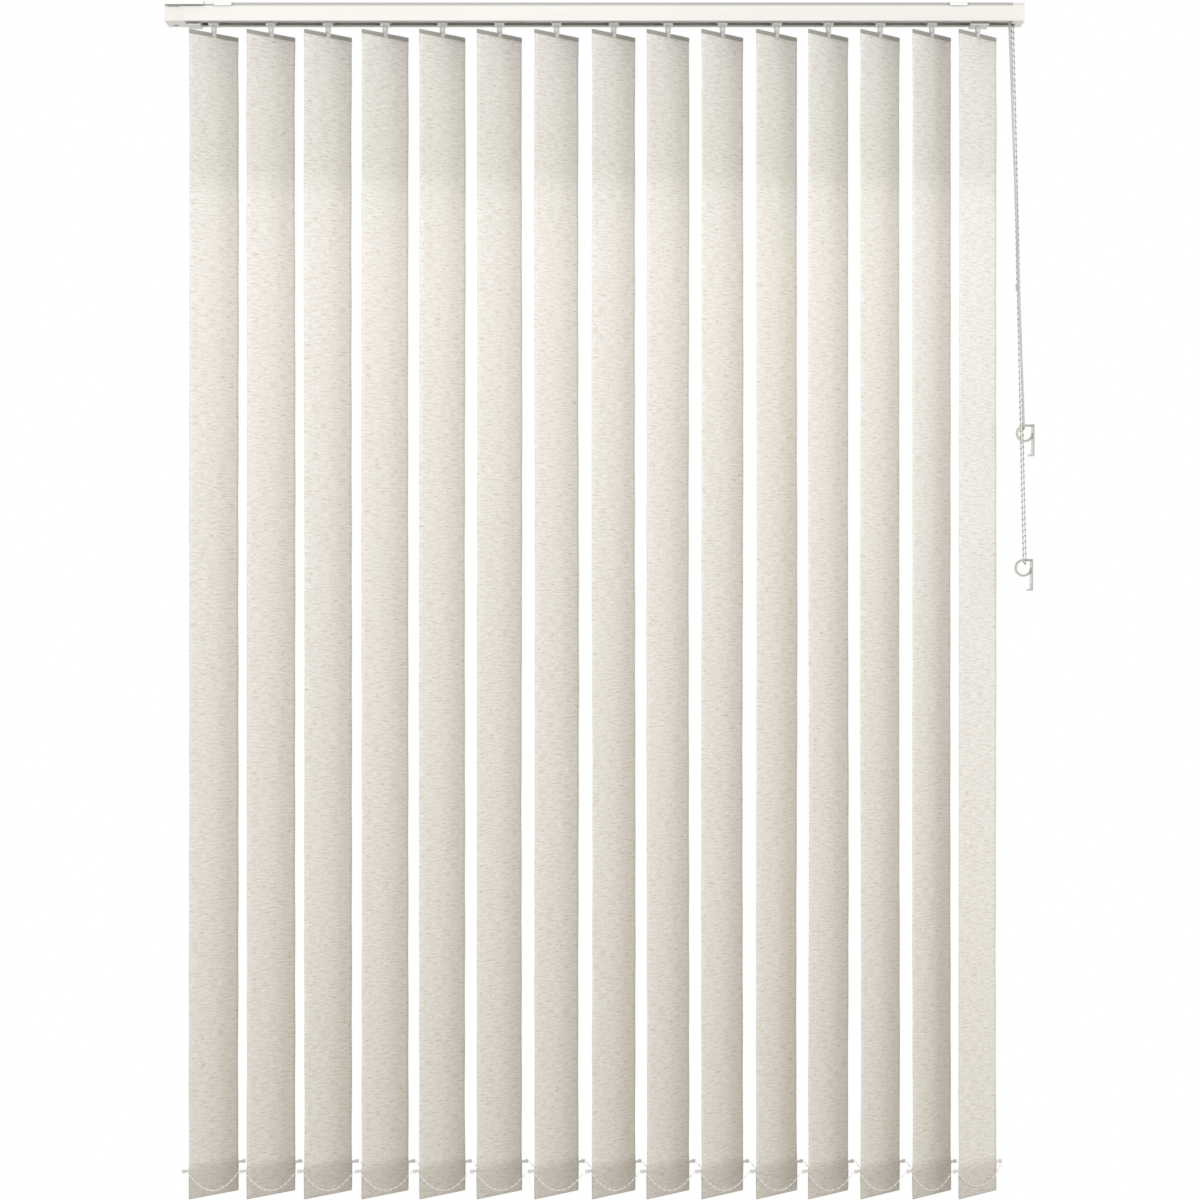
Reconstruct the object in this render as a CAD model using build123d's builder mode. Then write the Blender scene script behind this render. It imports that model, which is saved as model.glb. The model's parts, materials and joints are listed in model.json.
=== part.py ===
"""Vertical blind: a top-hung headrail with fifteen fabric slats on carriers that slide and turn."""
from build123d import *
from math import cos, hypot, pi, radians, sin, tan
import os

os.makedirs("parts", exist_ok=True)

# The frame: X runs along the rail towards the control end, -Y faces the room, Z is up.
# The origin lies on the ceiling, midway between the screw holes of the two ceiling clips.

# --- Driving dimensions, in millimetres and degrees ---
clip_spacing = 1015.0        # between the screw holes of the two ceiling clips
idle_overhang = 80.0         # from the left clip's hole to the idle end of the blind
control_overhang = 91.4      # from the right clip's hole to the control end
slat_count = 15
slat_width = 89.0
slat_drop = 1604.8           # fabric, from the top of its hem to the bottom fold
rest_angle = 48.0            # a slat's turn from the rail's line, near edge to far edge

rail_depth = 45.0
rail_height = 26.4
rail_wall = 1.3
rail_slot = 25.0             # gap between the two lips that the carriers roll on
neck_inset = 2.5             # the rail's top is this much narrower on each side
neck_height = 3.0
groove_depth = 1.0
groove_height = 1.2
bevel_height = 2.6
rail_edge_radius = 1.5

clip_width = 24.7
clip_plate = 1.2
clip_gap = 0.5               # between a clip's leg and the rail's widest face
clip_leg = 6.4
clip_corner = 2.0
screw_hole_radius = 2.25
fit_gap = 0.1                # flat faces that slide or locate
running_gap = 0.05           # round fits that turn

bracket_length = 55.0
bracket_reach = 2.8          # how far the end bracket's lip stands in front of a clip's leg
bracket_leg = 5.2
bracket_tongue = 13.5
bracket_hole_spacing = 32.0

idle_cap_length = 27.2
control_cap_length = 15.9
cap_wall = 3.4
cap_tab_length = 8.0
cap_tab_thickness = 2.4
cap_tab_height = 10.0
cheek_thickness = 1.5
cheek_gap = 0.4
cheek_height = 14.0

rod_radius = 2.5
rod_y = 8.3                  # the tilt rod lies behind the stems
rod_z = -15.0
rod_end_gap = 5.5            # from the idle end of the blind to the rod's end
rod_tip_gap = 6.0            # from the rod's other end to the control end

# Carriers
stem_from_control_end = 62.3
stem_from_idle_end = 65.1
pitch_shares = [1.0] * 7 + [0.951] * 3 + [0.905] * 3 + [0.803]
stack_share = 0.33           # how far the pitches shrink when the blind is drawn
body_length = 18.0
body_width = 34.0
body_top = -5.6
body_floor = -17.8
neck_length = 13.0
neck_side_gap = 0.5
neck_drop = 2.4              # below the rail
axle_radius = 1.0
axle_offset = 4.6
wheel_radius = 4.0
wheel_width = 3.0
lead_length = 36.0           # the lead carrier's reach towards the idle end
lead_gap_near = 8.0
lead_gap_far = 17.0
tail_left = 11.0
tail_right = 14.0
skirt_thickness = 1.4
skirt_width = 32.0
cord_hole_radius = 1.3
worm_radius = 4.0
worm_length = 11.6
worm_groove = 0.7
worm_grooves = 5
gear_radius = 4.2
gear_height = 5.8
gear_teeth = 13
gear_notch = 0.5
link_thickness = 0.4
link_height = 3.6
link_pitch = 0.8
link_lanes = 5
link_overrun = 3.0
link_notch_y = 12.9
link_notch_floor = -10.4

# Stem, hanger, weight
pivot_radius = 3.0
stem_radius = 3.75
stem_end = -38.4
fork_depth = 1.8
fork_width = 6.0
fork_end = -44.0
pin_radius = 0.9
pin_z = -42.4
hanger_top = -40.2
hanger_thickness = 1.9
hanger_band = 5.5
hanger_tongue = 14.0
tongue_thickness = 1.0
fabric_thickness = 0.6
hem_height = 16.0
hem_thickness = 2.3
pocket_height = 44.0
pocket_thickness = 3.0
weight_thickness = 1.4
weight_height = 38.5
weight_side_inset = 1.5
weight_top_gap = 3.0
tab_height = 3.0
button_reach = 10.0          # from the fabric's edge to the button's axis
button_radius = 2.6
button_height = 4.5

# Cords and chains
cord_radius = 1.0
cord_z = -7.8
drive_y = -2.0
return_y = -10.0
pulley_x_gap = 26.9          # from the control end to the cord pulleys' axle
pulley_core = 6.0
pulley_flange = 7.6
pulley_width = 3.8
pulley_axle = 1.5
cord_seat = 0.15             # between a cord and its pulley's core
idle_pulley_x_gap = 15.5
chain_radius = 1.6
chain_wheel_x_gap = 13.4
chain_wheel_core = 7.2
chain_wheel_flange = 9.6
chain_wheel_width = 5.4
chain_seat = 0.35
chain_pockets = 7
connector_radius = 2.6
connector_length = 10.0
cord_wall_gap = 13.3         # from the wall to the cord loop where it turns in its ring
chain_wall_gap = 9.3
chain_slant = 2.0            # the rear strand's foot lies this much nearer the blind
bottom_chain_radius = 1.2
bottom_chain_sag = 26.0
bottom_chain_gap = 3.9       # from a button's axis to the end of a chain's span

# Wall clips that hold the loops down
wall_gap = 14.4              # from the control end to the wall
plate_thickness = 2.0
plate_width = 20.0
plate_height = 44.0
ring_radius = 12.3
ring_band = 3.2
ring_width = 5.0
foot_reach = 5.0
foot_height = 2.5
cord_clip_z = -583.0
chain_clip_z = -769.0
clip_hole_radius = 1.75
clip_hole_spacing = 12.0
clip_hole_rise = 8.0

# --- Worked out from these ---
idle_end = -clip_spacing / 2 - idle_overhang
control_end = clip_spacing / 2 + control_overhang
rail_start = idle_end + idle_cap_length
rail_end = control_end - control_cap_length
rail_top = -clip_plate
rail_bottom = rail_top - rail_height
half_depth = rail_depth / 2
neck_half = half_depth - neck_inset
lip_top = rail_bottom + rail_wall

last_stem = control_end - stem_from_control_end
first_stem = idle_end + stem_from_idle_end
unit_pitch = (last_stem - first_stem) / sum(pitch_shares)
pitches = [share * unit_pitch for share in pitch_shares]
stems = [first_stem + sum(pitches[:place]) for place in range(slat_count)]

neck_width = rail_slot - 2 * neck_side_gap
neck_bottom = rail_bottom - neck_drop
wheel_z = lip_top + fit_gap + wheel_radius
gear_z = rod_z - gear_height / 2
gear_floor = gear_z - fit_gap
chamber_top = gear_z + gear_height + 1.6

fabric_top = hanger_top - hanger_band
fabric_bottom = fabric_top - slat_drop
pocket_top = fabric_bottom + pocket_height
weight_top = pocket_top - weight_top_gap
button_arm = slat_width / 2 + button_reach
button_z = weight_top - tab_height / 2

cord_turn = pulley_core + cord_seat + cord_radius
pulley_x = control_end - pulley_x_gap
pulley_z = cord_z - cord_turn
idle_turn = (drive_y - return_y) / 2
idle_pulley_x = idle_end + idle_pulley_x_gap
idle_pulley_y = (drive_y + return_y) / 2
chain_turn = chain_wheel_core + chain_seat + chain_radius
chain_wheel_x = control_end - chain_wheel_x_gap
wall_x = control_end + wall_gap


def slat_plane(place, height=0.0):
    """The level plane of one slat: its local X runs from the near edge to the far edge."""
    turn = radians(rest_angle)
    return Plane(origin=(stems[place], 0, height), x_dir=(cos(turn), sin(turn), 0), z_dir=(0, 0, 1))


def save(part, name):
    """Labels a finished piece and writes it as the node of that name."""
    part.label = name
    export_step(part, f"parts/{name}.step")


def corner_radii(route, tight=None):
    """Each corner's arc: 0.45 of the shorter run over the tangent of half the turn, unless given."""
    radii = []
    for at in range(1, len(route) - 1):
        before = Vector(*route[at]) - Vector(*route[at - 1])
        after = Vector(*route[at + 1]) - Vector(*route[at])
        half_turn = radians(before.get_angle(after) / 2)
        radius = 0.45 * min(before.length, after.length) / tan(half_turn)
        radii.append((tight or {}).get(at, radius))
    return radii


def cord_tube(name, route, radius, tight=None):
    """A round cord along straight runs joined by tangent arcs."""
    radii = corner_radii(route, tight)
    with BuildPart() as tube:
        with BuildLine() as path:
            FilletPolyline(*route, radius=radii)
        line = path.wire()
        with BuildSketch(Plane(origin=line @ 0, z_dir=line % 0)):
            Circle(radius)
        sweep(path=line)
    full = pi * radius**2 * line.length
    print(f"{name}: length {line.length:.1f}, tightest {min(radii):.1f}, volume {tube.part.volume / full:.4f}")
    return tube.part


# --- Headrail ---
def rail_outline():
    """Half of the rail's outside, from the middle of its top to the middle of its underside."""
    groove_top = rail_top - neck_height + groove_height
    neck_floor = rail_top - neck_height
    return [
        (0, rail_top),
        (neck_half, rail_top),
        (neck_half, groove_top),
        (neck_half - groove_depth, groove_top),
        (neck_half - groove_depth, neck_floor),
        (neck_half, neck_floor),
        (half_depth, neck_floor - bevel_height),
        (half_depth, rail_bottom),
    ]


def rail_inside():
    """Half of the rail's inside, from the slot's edge up to the middle of its ceiling."""
    shoulder = rail_top - neck_height - bevel_height
    inner_neck = neck_half - groove_depth - rail_wall
    return [
        (rail_slot / 2, rail_bottom),
        (rail_slot / 2, lip_top),
        (half_depth - rail_wall, lip_top),
        (half_depth - rail_wall, shoulder - 0.5),
        (inner_neck, rail_top - neck_height - 0.1),
        (inner_neck, rail_top - rail_wall),
        (0, rail_top - rail_wall),
    ]


def rail_length(start, length, half_section):
    """A length of rail or cap: half a section, mirrored, with its outer bottom corners rounded."""
    with BuildPart() as extrusion:
        with BuildSketch(Plane.YZ.offset(start)) as section:
            with BuildLine():
                Polyline(*half_section, close=True)
            make_face()
            mirror(about=Plane.YZ)
            lowest = section.vertices().group_by(Axis.Y)[0].sort_by(Axis.X)
            fillet([lowest[0], lowest[-1]], rail_edge_radius)
        extrude(amount=length)
    return extrusion.part


save(rail_length(rail_start, rail_end - rail_start, rail_outline() + rail_inside()), "headrail")


# --- Ceiling clips and end bracket ---
def clip_section(leg_reach, leg_length):
    """A clip's section: a plate on the rail's top, a leg each side and a toe in each groove."""
    toe = neck_half - groove_depth + 2 * fit_gap
    toe_top = rail_top - neck_height + groove_height - fit_gap
    toe_floor = rail_top - neck_height + fit_gap
    outer = leg_reach + clip_plate
    return [
        (0, 0),
        (outer, 0),
        (outer, -leg_length),
        (leg_reach, -leg_length),
        (leg_reach, toe_floor),
        (toe, toe_floor),
        (toe, toe_top),
        (leg_reach, toe_top),
        (leg_reach, rail_top),
        (0, rail_top),
    ]


with BuildPart() as ceiling_clips:
    for hole_x in (-clip_spacing / 2, clip_spacing / 2):
        with BuildSketch(Plane.YZ.offset(hole_x)):
            with BuildLine():
                Polyline(*clip_section(half_depth + clip_gap, clip_leg), close=True)
            make_face()
            mirror(about=Plane.YZ)
        extrude(amount=clip_width / 2, both=True)
    leg_edges = ceiling_clips.edges().filter_by(Axis.Y).group_by(Axis.Z)[0]
    fillet(leg_edges, clip_corner)
    front_reach = half_depth + clip_gap + bracket_reach
    with BuildSketch(Plane.YZ.offset(idle_end - 1)):
        with BuildLine():
            Polyline(*clip_section(front_reach, bracket_leg), close=True)
        make_face()
        mirror(about=Plane.YZ)
    extrude(amount=bracket_length)
    with BuildSketch(Plane.YZ.offset(idle_end - 1 + bracket_length)):
        with BuildLine():
            Polyline(*clip_section(neck_half + fit_gap, clip_plate + neck_height - 0.2), close=True)
        make_face()
        mirror(about=Plane.YZ)
    extrude(amount=bracket_tongue)
    bracket_middle = idle_end - 1 + bracket_length / 2
    hole_places = [(-clip_spacing / 2, 0), (clip_spacing / 2, 0)]
    hole_places += [(bracket_middle + side * bracket_hole_spacing / 2, 0) for side in (-1, 1)]
    with Locations(*[(x, y, 0) for x, y in hole_places]):
        Cylinder(screw_hole_radius, 3 * clip_plate, mode=Mode.SUBTRACT)
save(ceiling_clips.part, "ceiling_clips")


# --- End caps ---
def side_tabs(start):
    """The two tongues that plug a cap into the rail."""
    inner = half_depth - rail_wall - fit_gap
    with BuildPart() as tabs:
        for side in (-1, 1):
            with Locations((start, side * inner, rod_z)):
                edge = Align.MIN if side < 0 else Align.MAX
                Box(cap_tab_length, cap_tab_thickness, cap_tab_height, align=(Align.MIN, edge, Align.CENTER))
    return tabs.part


with BuildPart() as idle_end_cap:
    add(rail_length(idle_end, idle_cap_length, rail_outline() + [(0, rail_bottom)]))
    add(side_tabs(rail_start))
    cavity_width = 2 * (neck_half - groove_depth - rail_wall)
    cavity_top = cord_z + 2.6
    cavity_height = cavity_top - (rail_bottom + 2.0)
    with Locations((idle_end + cap_wall, 0, cavity_top)):
        Box(idle_cap_length, cavity_width, cavity_height, align=(Align.MIN, Align.CENTER, Align.MAX),
            mode=Mode.SUBTRACT)
    with Locations((idle_end + cap_wall + 8, rod_y, rail_bottom)):
        Box(8, 9, 8, mode=Mode.SUBTRACT)
    with Locations((idle_end + 12, -half_depth, rail_top - neck_height - bevel_height)):
        Box(15, 6, 2.4, mode=Mode.SUBTRACT)
    with BuildSketch(Plane.YZ.offset(idle_end + cap_wall)):
        with Locations((rod_y, rod_z)):
            Circle(rod_radius + 2)
            Circle(rod_radius + running_gap, mode=Mode.SUBTRACT)
    extrude(amount=5)
    with BuildSketch(Plane.XY.offset(cavity_top)):
        with Locations((idle_pulley_x, idle_pulley_y)):
            Circle(pulley_axle)
    extrude(amount=cord_z - 2.4 - cavity_top)
save(idle_end_cap.part, "idle_end_cap")

wheel_room = chain_turn + chain_radius + 0.7
with BuildPart() as control_end_cap:
    add(rail_length(rail_end, control_cap_length, rail_outline() + [(0, rail_bottom)]))
    with BuildSketch(Plane.YZ.offset(rail_end)):
        with Locations((rod_y, rod_z)):
            Circle(wheel_room)
    wheel_bay = chain_wheel_x + chain_wheel_width / 2 + 0.8 - rail_end
    extrude(amount=wheel_bay, mode=Mode.SUBTRACT)
    with Locations((rail_end, rod_y, rod_z)):
        Box(wheel_bay, 2 * wheel_room, 20, align=(Align.MIN, Align.CENTER, Align.MAX), mode=Mode.SUBTRACT)
    with Locations((rail_end - cap_tab_length, half_depth - rail_wall - fit_gap, rod_z)):
        Box(cap_tab_length + 1, 1.2, cap_tab_height, align=(Align.MIN, Align.MAX, Align.CENTER))
    # two cheeks and a crossbar carry the cord pulleys' axle; the front cheek joins the cap
    frame_start = pulley_x - pulley_flange - 1
    front_cheek = return_y - pulley_width / 2 - cheek_gap - cheek_thickness
    rear_cheek = drive_y + pulley_width / 2 + cheek_gap
    for cheek_y, cheek_end in ((front_cheek, rail_end + 1), (rear_cheek, rail_end - 1)):
        with Locations((frame_start, cheek_y, cord_z)):
            Box(cheek_end - frame_start, cheek_thickness, cheek_height, align=(Align.MIN, Align.MIN, Align.MAX))
    with Locations((frame_start, front_cheek, pulley_z - pulley_flange + 1)):
        Box(2.4, rear_cheek + cheek_thickness - front_cheek, 1.6, align=(Align.MAX, Align.MIN, Align.MIN))
    with BuildSketch(Plane.XZ.offset(-rear_cheek)):
        with Locations((pulley_x, pulley_z)):
            Circle(pulley_axle)
    extrude(amount=rear_cheek - front_cheek - cheek_thickness)
    # the rod's end turns in a blind bore beyond the chain wheel's bay
    with BuildSketch(Plane.YZ.offset(rail_end + wheel_bay)):
        with Locations((rod_y, rod_z)):
            Circle(rod_radius + running_gap)
    extrude(amount=control_end - rod_tip_gap + fit_gap - rail_end - wheel_bay, mode=Mode.SUBTRACT)
save(control_end_cap.part, "control_end_cap")


# --- Pulleys and tilt rod ---
def grooved_wheel(core, flange, width, bore, seat_radius):
    """A wheel round local Z with a round groove in its rim."""
    with BuildSketch(Plane.XZ) as rim:
        with Locations(((bore + flange) / 2, 0)):
            Rectangle(flange - bore, width)
        with Locations((core + seat_radius, 0)):
            Circle(seat_radius, mode=Mode.SUBTRACT)
        with Locations((flange + seat_radius / 2, 0)):
            Rectangle(2 * (flange - core) - seat_radius, 2 * seat_radius * 0.98, mode=Mode.SUBTRACT)
    return revolve(rim.sketch, axis=Axis.Z, mode=Mode.PRIVATE)


groove_radius = cord_radius + cord_seat
cord_wheel = grooved_wheel(pulley_core, pulley_flange, pulley_width, pulley_axle + running_gap, groove_radius)
for name, wheel_y in (("cord_pulley_rear", drive_y), ("cord_pulley_front", return_y)):
    with BuildPart() as cord_pulley:
        with Locations(Plane.XZ.offset(-wheel_y).location * Pos(pulley_x, pulley_z, 0)):
            add(cord_wheel)
        with Locations(Plane.XZ.offset(-wheel_y).location * Pos(pulley_x, pulley_z, 0)):
            with PolarLocations((pulley_core + pulley_axle) / 2, 4):
                Cylinder(0.9, 3 * pulley_width, mode=Mode.SUBTRACT)
    save(cord_pulley.part, name)

idle_core = idle_turn - cord_seat - cord_radius
idle_wheel = grooved_wheel(idle_core, idle_core + 1.6, 3.4, pulley_axle + running_gap, groove_radius)
with BuildPart() as idle_pulley:
    with Locations((idle_pulley_x, idle_pulley_y, cord_z)):
        add(idle_wheel)
save(idle_pulley.part, "idle_pulley")

with BuildPart() as tilt_rod:
    with BuildSketch(Plane.YZ.offset(idle_end + rod_end_gap)):
        with Locations((rod_y, rod_z)):
            Circle(rod_radius)
            with PolarLocations(rod_radius, 3):
                Circle(0.6, mode=Mode.SUBTRACT)
    extrude(amount=control_end - rod_tip_gap - idle_end - rod_end_gap)
save(tilt_rod.part, "tilt_rod")

bead_wheel = grooved_wheel(chain_wheel_core, chain_wheel_flange, chain_wheel_width, rod_radius,
                           chain_radius + chain_seat)
with BuildPart() as chain_wheel:
    with Locations(Plane.YZ.offset(chain_wheel_x).location * Pos(rod_y, rod_z, 0)):
        add(bead_wheel)
        with PolarLocations(chain_turn, chain_pockets):
            Cylinder(chain_radius, 2 * chain_wheel_width, mode=Mode.SUBTRACT)
save(chain_wheel.part, "chain_wheel")


# --- Carriers ---
def carrier(place):
    """One carrier: its body, worm sleeve, rollers on their axles and spacer link."""
    x = stems[place]
    lead = place == 0
    tail = place == slat_count - 1
    left = lead_length if lead else body_length / 2
    right = tail_right if tail else body_length / 2
    with BuildPart() as body:
        with Locations((x - left, 0, body_top)):
            Box(left + right, body_width, body_top - body_floor, align=(Align.MIN, Align.CENTER, Align.MAX))
        with Locations((x, 0, body_floor)):
            Box(neck_length, neck_width, body_floor - neck_bottom, align=(Align.CENTER, Align.CENTER, Align.MAX))
        if lead:
            with Locations((x - lead_length, 0, body_floor)):
                Box(lead_length - lead_gap_far, neck_width, body_floor - neck_bottom,
                    align=(Align.MIN, Align.CENTER, Align.MAX))
            with Locations((x - lead_length, 0, neck_bottom)):
                Box(lead_length - lead_gap_far, skirt_width, skirt_thickness,
                    align=(Align.MIN, Align.CENTER, Align.MAX))
        if tail:
            with Locations((x - tail_left, 0, body_floor)):
                Box(tail_left + tail_right, neck_width, body_floor - neck_bottom,
                    align=(Align.MIN, Align.CENTER, Align.MAX))
            with Locations((x - tail_left, 0, neck_bottom)):
                Box(tail_left + tail_right, skirt_width, skirt_thickness,
                    align=(Align.MIN, Align.CENTER, Align.MAX))
        # chambers for the gear and the worm, and the stem's bore
        with BuildSketch(Plane.XY.offset(gear_floor)):
            with Locations((x, 0)):
                Circle(gear_radius + 0.4)
        extrude(amount=chamber_top - gear_floor, mode=Mode.SUBTRACT)
        with BuildSketch(Plane.YZ.offset(x)):
            with Locations((rod_y, rod_z)):
                Circle(worm_radius + 0.3)
        extrude(amount=worm_length / 2 + fit_gap, both=True, mode=Mode.SUBTRACT)
        with BuildSketch(Plane.XY.offset(neck_bottom - 2 * skirt_thickness)):
            with Locations((x, 0)):
                Circle(pivot_radius + running_gap)
        extrude(amount=gear_floor - neck_bottom + 2 * skirt_thickness + 1, mode=Mode.SUBTRACT)
        # the rod, the two cord strands and the links run right through
        with BuildSketch(Plane.YZ.offset(x - lead_length)):
            with Locations((rod_y, rod_z)):
                Circle(rod_radius + 0.1)
            with Locations((drive_y, cord_z), (return_y, cord_z)):
                Circle(cord_hole_radius)
            with Locations((link_notch_y, link_notch_floor)):
                Rectangle(body_width, rail_height, align=(Align.MIN, Align.MIN))
        extrude(amount=lead_length + tail_right, mode=Mode.SUBTRACT)
        # axle holes
        with BuildSketch(Plane.XZ.offset(-neck_width / 2)):
            with Locations((x - axle_offset, wheel_z), (x + axle_offset, wheel_z)):
                Circle(axle_radius)
        extrude(amount=neck_width, mode=Mode.SUBTRACT)
    with BuildPart() as worm:
        with BuildSketch(Plane.YZ.offset(x - worm_length / 2)):
            with Locations((rod_y, rod_z)):
                Circle(worm_radius)
                Circle(rod_radius + running_gap, mode=Mode.SUBTRACT)
        extrude(amount=worm_length)
        groove_step = worm_length / (worm_grooves + 1)
        for groove in range(1, worm_grooves + 1):
            with BuildSketch(Plane.YZ.offset(x - worm_length / 2 + groove * groove_step)):
                with Locations((rod_y, rod_z)):
                    Circle(worm_radius + 1)
                    Circle(worm_radius - worm_groove, mode=Mode.SUBTRACT)
            extrude(amount=worm_groove, both=False, mode=Mode.SUBTRACT)
    with BuildPart() as rollers:
        axle_length = neck_width + 2 * (wheel_width + 0.3)
        for axle_x in (x - axle_offset, x + axle_offset):
            with BuildSketch(Plane.XZ.offset(-axle_length / 2)):
                with Locations((axle_x, wheel_z)):
                    Circle(axle_radius)
            extrude(amount=axle_length)
    with BuildPart() as wheels:
        for axle_x in (x - axle_offset, x + axle_offset):
            for start in (-neck_width / 2 - 0.3, neck_width / 2 + 0.3 + wheel_width):
                with BuildSketch(Plane.XZ.offset(-start)):
                    with Locations((axle_x, wheel_z)):
                        Circle(wheel_radius)
                        Circle(axle_radius, mode=Mode.SUBTRACT)
                extrude(amount=wheel_width)
    pieces = [body.part, worm.part, rollers.part, wheels.part]
    if not tail:
        lane_y = link_notch_y + 0.4 + link_pitch * (place % link_lanes)
        with BuildPart() as link:
            with Locations((x - 2, lane_y, link_notch_floor + 0.4)):
                Box(pitches[place] + link_overrun + 2, link_thickness, link_height,
                    align=(Align.MIN, Align.MIN, Align.MIN))
            with Locations((x - 2, lane_y, link_notch_floor)):
                Box(4, link_thickness, 1, align=(Align.MIN, Align.MIN, Align.MIN))
        pieces.append(link.part)
    return Compound(children=[solid for piece in pieces for solid in piece.solids()])


for place in range(slat_count):
    save(carrier(place), f"carrier_{place + 1:02d}")


# --- Stem with its hanger and bottom weight ---
def fitting(place):
    """What one slat's fabric hangs from and is weighted by."""
    with BuildPart() as stem:
        with BuildSketch(slat_plane(place, gear_z)):
            Circle(gear_radius)
            with PolarLocations(gear_radius, gear_teeth):
                Circle(gear_notch, mode=Mode.SUBTRACT)
        extrude(amount=gear_height)
        with BuildSketch(slat_plane(place, gear_z)):
            Circle(pivot_radius)
        extrude(amount=neck_bottom - gear_z - 2 * skirt_thickness)
        with BuildSketch(slat_plane(place, neck_bottom - skirt_thickness - 0.3)):
            Circle(stem_radius)
        extrude(amount=stem_end - (neck_bottom - skirt_thickness - 0.3))
        with BuildSketch(slat_plane(place, stem_end)):
            Rectangle(fork_width, 2 * fork_depth)
            Rectangle(fork_width, hanger_thickness + fit_gap, mode=Mode.SUBTRACT)
        extrude(amount=fork_end - stem_end)
        pin_plane = Plane(origin=(stems[place], 0, pin_z), z_dir=slat_plane(place).y_dir)
        with BuildSketch(pin_plane.offset(-fork_depth)):
            Circle(pin_radius)
        extrude(amount=2 * fork_depth)
    with BuildPart() as hanger:
        with BuildSketch(slat_plane(place, hanger_top)):
            Rectangle(slat_width - 0.4, hanger_thickness)
        extrude(amount=-hanger_band)
        with BuildSketch(slat_plane(place, fabric_top)):
            Rectangle(slat_width - 4, tongue_thickness)
        extrude(amount=-hanger_tongue)
        with BuildSketch(pin_plane.offset(-fork_depth)):
            Circle(pin_radius + fit_gap)
        extrude(amount=2 * fork_depth, mode=Mode.SUBTRACT)
    with BuildPart() as weight:
        with BuildSketch(slat_plane(place, weight_top)):
            Rectangle(slat_width - 2 * weight_side_inset, weight_thickness)
        extrude(amount=-weight_height)
        with BuildSketch(slat_plane(place, weight_top)):
            Rectangle(2 * button_arm, weight_thickness)
        extrude(amount=-tab_height)
        with BuildSketch(slat_plane(place, button_z - button_height / 2)):
            with Locations((-button_arm, 0), (button_arm, 0)):
                Circle(button_radius)
        extrude(amount=button_height)
    return Compound(children=[*stem.part.solids(), *hanger.part.solids(), *weight.part.solids()])


# --- Fabric ---
def fabric(place):
    """One slat's cloth: a hem round the hanger's tongue, the sheet, and a pocket for the weight."""
    with BuildPart() as cloth:
        with BuildSketch(slat_plane(place, fabric_top)):
            Rectangle(slat_width, fabric_thickness)
        extrude(amount=-slat_drop)
        with BuildSketch(slat_plane(place, fabric_top)):
            Rectangle(slat_width, hem_thickness)
        extrude(amount=-hem_height)
        with BuildSketch(slat_plane(place, fabric_bottom)):
            Rectangle(slat_width, pocket_thickness)
        extrude(amount=pocket_height)
        with BuildSketch(slat_plane(place, fabric_top)):
            Rectangle(slat_width, tongue_thickness + fit_gap)
        extrude(amount=-hanger_tongue - 0.6, mode=Mode.SUBTRACT)
        with BuildSketch(slat_plane(place, weight_top + 0.6)):
            Rectangle(slat_width, weight_thickness + fit_gap)
        extrude(amount=-weight_height - 1.2, mode=Mode.SUBTRACT)
    return cloth.part


for place in range(slat_count):
    save(fitting(place), f"fitting_{place + 1:02d}")
    save(fabric(place), f"slat_{place + 1:02d}")


# --- Wall clips ---
def wall_clip(y, top):
    """A P-shaped clip: a plate screwed to the wall, and a ring that the loop's end runs round."""
    ring_x = wall_x - ring_radius
    ring_z = top - ring_radius
    inner = ring_radius - ring_band
    with BuildPart() as clip:
        with BuildSketch(Plane.XZ.offset(-y)):
            with Locations((ring_x, ring_z)):
                Circle(ring_radius)
            with Locations((wall_x, top)):
                Rectangle(ring_radius, ring_radius, align=(Align.MAX, Align.MAX))
            with Locations((ring_x, ring_z)):
                Circle(inner, mode=Mode.SUBTRACT)
                Rectangle(ring_radius - plate_thickness, inner, align=(Align.MIN, Align.MIN), mode=Mode.SUBTRACT)
        extrude(amount=ring_width / 2, both=True)
        with Locations((wall_x, y, top)):
            Box(plate_thickness, plate_width, plate_height, align=(Align.MAX, Align.CENTER, Align.MAX))
        with Locations((wall_x, y, top - plate_height)):
            Box(foot_reach + plate_thickness, plate_width, foot_height, align=(Align.MAX, Align.CENTER, Align.MIN))
        hole_z = top - plate_height + clip_hole_rise
        with BuildSketch(Plane.YZ.offset(wall_x - plate_thickness)):
            with Locations((y - clip_hole_spacing / 2, hole_z), (y + clip_hole_spacing / 2, hole_z)):
                Circle(clip_hole_radius)
        extrude(amount=plate_thickness, mode=Mode.SUBTRACT)
    return clip.part


cord_clip_y = idle_pulley_y
chain_clip_y = rod_y
clips = [wall_clip(cord_clip_y, cord_clip_z), wall_clip(chain_clip_y, chain_clip_z)]
save(Compound(children=[solid for clip in clips for solid in clip.solids()]), "wall_clips")

# --- Control cord: clamped in the lead carrier, round the idle pulley, and down to its wall clip ---
cord_drop_x = pulley_x + cord_turn
ring_diagonal = hypot(ring_width, ring_band) / 2
cord_half_turn = ring_diagonal + cord_radius + 0.3
cord_low = cord_clip_z - ring_band / 2 - cord_half_turn
cord_ring_x = wall_x - cord_wall_gap
cord_route = [
    (first_stem - 2, drive_y, cord_z),
    (idle_pulley_x - idle_turn, drive_y, cord_z),
    (idle_pulley_x - idle_turn, return_y, cord_z),
    (cord_drop_x, return_y, cord_z),
    (cord_ring_x, cord_clip_y - cord_half_turn, cord_low),
    (cord_ring_x, cord_clip_y + cord_half_turn, cord_low),
    (cord_drop_x, drive_y, cord_z),
    (first_stem + 2, drive_y, cord_z),
]
cord_arcs = {1: idle_turn - 0.02, 2: idle_turn - 0.02, 3: cord_turn, 4: cord_half_turn - 0.05,
             5: cord_half_turn - 0.05, 6: cord_turn}
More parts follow.
